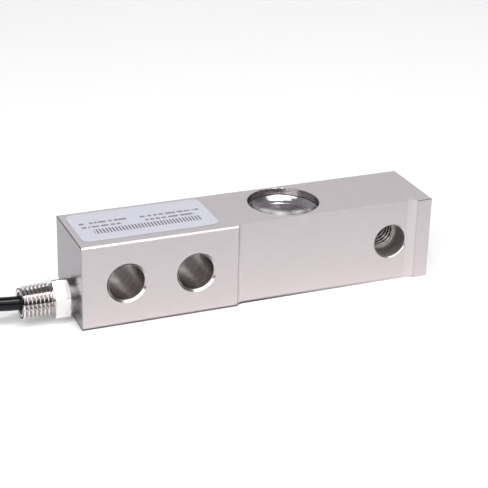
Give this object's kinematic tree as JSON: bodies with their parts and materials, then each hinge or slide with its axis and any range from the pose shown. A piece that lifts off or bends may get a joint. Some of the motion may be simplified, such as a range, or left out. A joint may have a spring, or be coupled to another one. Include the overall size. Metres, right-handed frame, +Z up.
{
  "type": "cantilever beam load cell",
  "caption": "Steel shear-beam load cell with mounting holes, a threaded load hole, sealed gauge pockets and a cable gland with its cable.",
  "frame": {"origin": "on the underside of the beam, below the middle of the two mounting holes and midway across the beam's width", "axes": "+X along the beam from the cable end to the loaded end, +Y away from the mounting pad, +Z up out of the labelled face"},
  "size_m": [0.343, 0.0462, 0.0312],
  "materials": {
    "beam_steel": "ground, fine grained",
    "cup_steel": "drawn sheet, bright",
    "gland_plate": "polished plating",
    "washer_metal": "satin",
    "grommet_rubber": "matte",
    "label_white": "satin film",
    "cable_black": "glossy jacket",
    "tie_black": "matte",
    "sleeve_black": "satin",
    "carrier_amber": "thin film",
    "foil_metal": "etched foil",
    "board_green": "laminate",
    "resistor_dark": "matte",
    "jumper_copper": "enamelled wire",
    "potting_grey": "matte",
    "core_red": "smooth insulation",
    "core_black": "smooth insulation",
    "core_green": "smooth insulation",
    "core_white": "smooth insulation",
    "drain_tinned": "bare twisted wire"
  },
  "bodies": {
    "root": {"beam": "beam_steel", "top_cup": "cup_steel", "bottom_cup": "cup_steel", "gauge_carrier_top": "carrier_amber", "gauge_carrier_bottom": "carrier_amber", "gauge_foil_top": "foil_metal", "gauge_foil_bottom": "foil_metal", "terminal_board_top": "board_green", "terminal_board_bottom": "board_green", "span_resistor": "resistor_dark", "balance_resistor": "resistor_dark", "jumper_wires_top": "jumper_copper", "jumper_wires_bottom": "jumper_copper", "link_wires": "jumper_copper", "gland_body": "gland_plate", "gland_washer": "washer_metal", "cable_grommet": "grommet_rubber", "potting_plug": "potting_grey", "core_red": "core_red", "core_black": "core_black", "core_green": "core_green", "core_white": "core_white", "label_film": "label_white", "cable": "cable_black", "cable_coil": "cable_black", "coil_tie": "tie_black", "end_sleeve": "sleeve_black", "stripped_red": "core_red", "stripped_black": "core_black", "stripped_green": "core_green", "stripped_white": "core_white", "shield_drain": "drain_tinned"}
  },
  "joints": []
}
